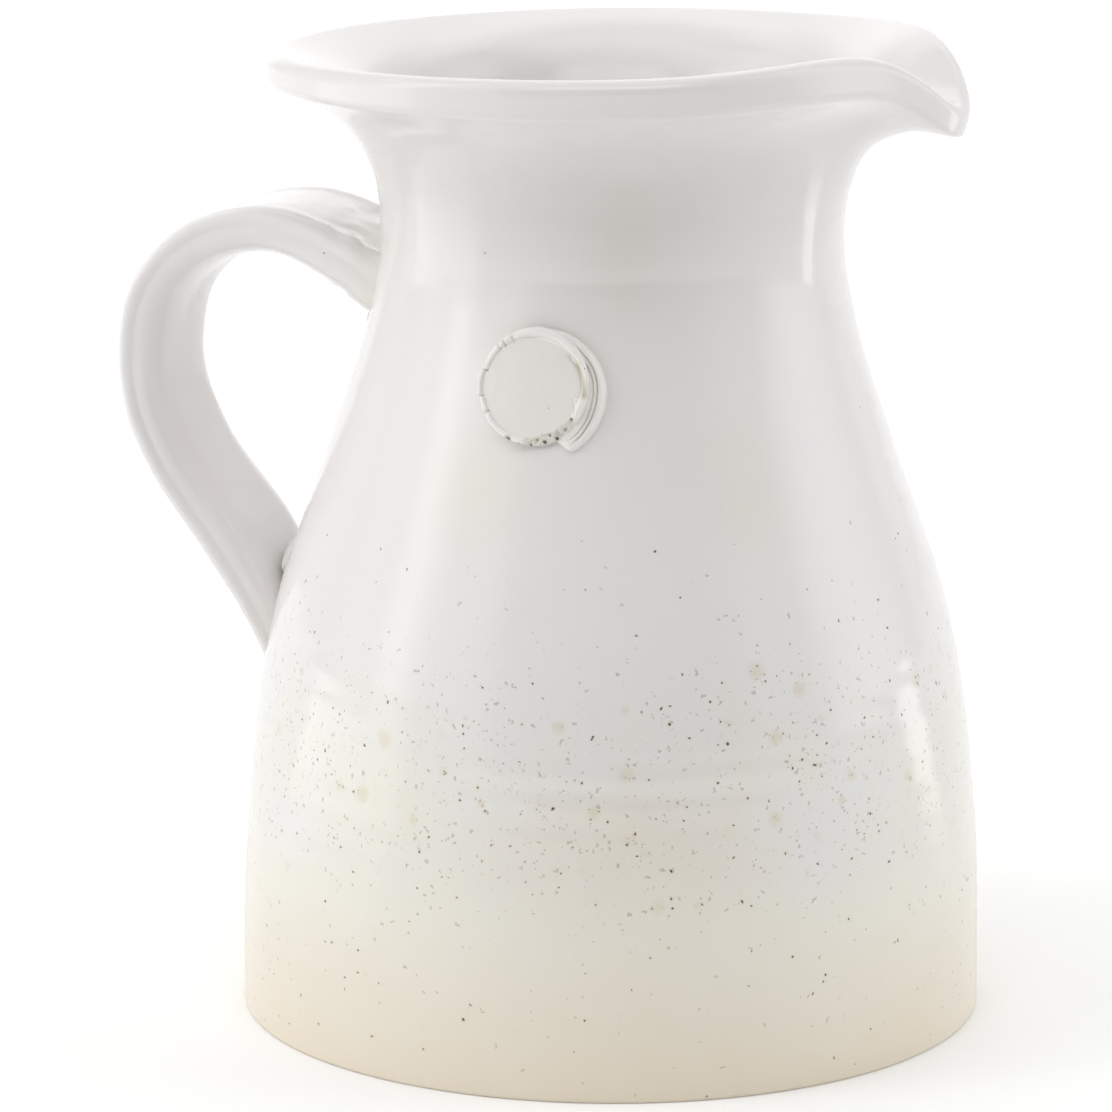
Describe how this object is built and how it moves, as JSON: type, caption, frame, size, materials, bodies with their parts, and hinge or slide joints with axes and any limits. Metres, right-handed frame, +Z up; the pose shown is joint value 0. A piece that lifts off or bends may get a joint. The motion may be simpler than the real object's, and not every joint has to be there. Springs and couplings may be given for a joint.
{
  "type": "ceramic pitcher",
  "caption": "Tall glazed stoneware pitcher with a broad cylindrical belly, narrow neck, flared rim with a pulled spout, wide strap handle and a round stamped seal.",
  "frame": {"origin": "on the vessel's axis, on the plane that its foot rests on", "axes": "+Z up along the vessel's axis, +X towards the spout, -X towards the handle, the seal on the -Y side"},
  "size_m": [0.2276, 0.195, 0.2562],
  "materials": {
    "body_glaze": "glossy cool white glaze with brown iron specks, thinning to a satin cream at the foot",
    "handle_glaze": "glossy white glaze, thin and warmer on the edges",
    "seal_glaze": "glossy white glaze, pooled in the dish and broken at the edge"
  },
  "bodies": {
    "root": {"vessel_body": "body_glaze", "strap_handle": "handle_glaze", "upper_luting": "handle_glaze", "lower_luting": "handle_glaze", "seal_pad": "seal_glaze", "seal_disc": "seal_glaze"}
  },
  "joints": []
}
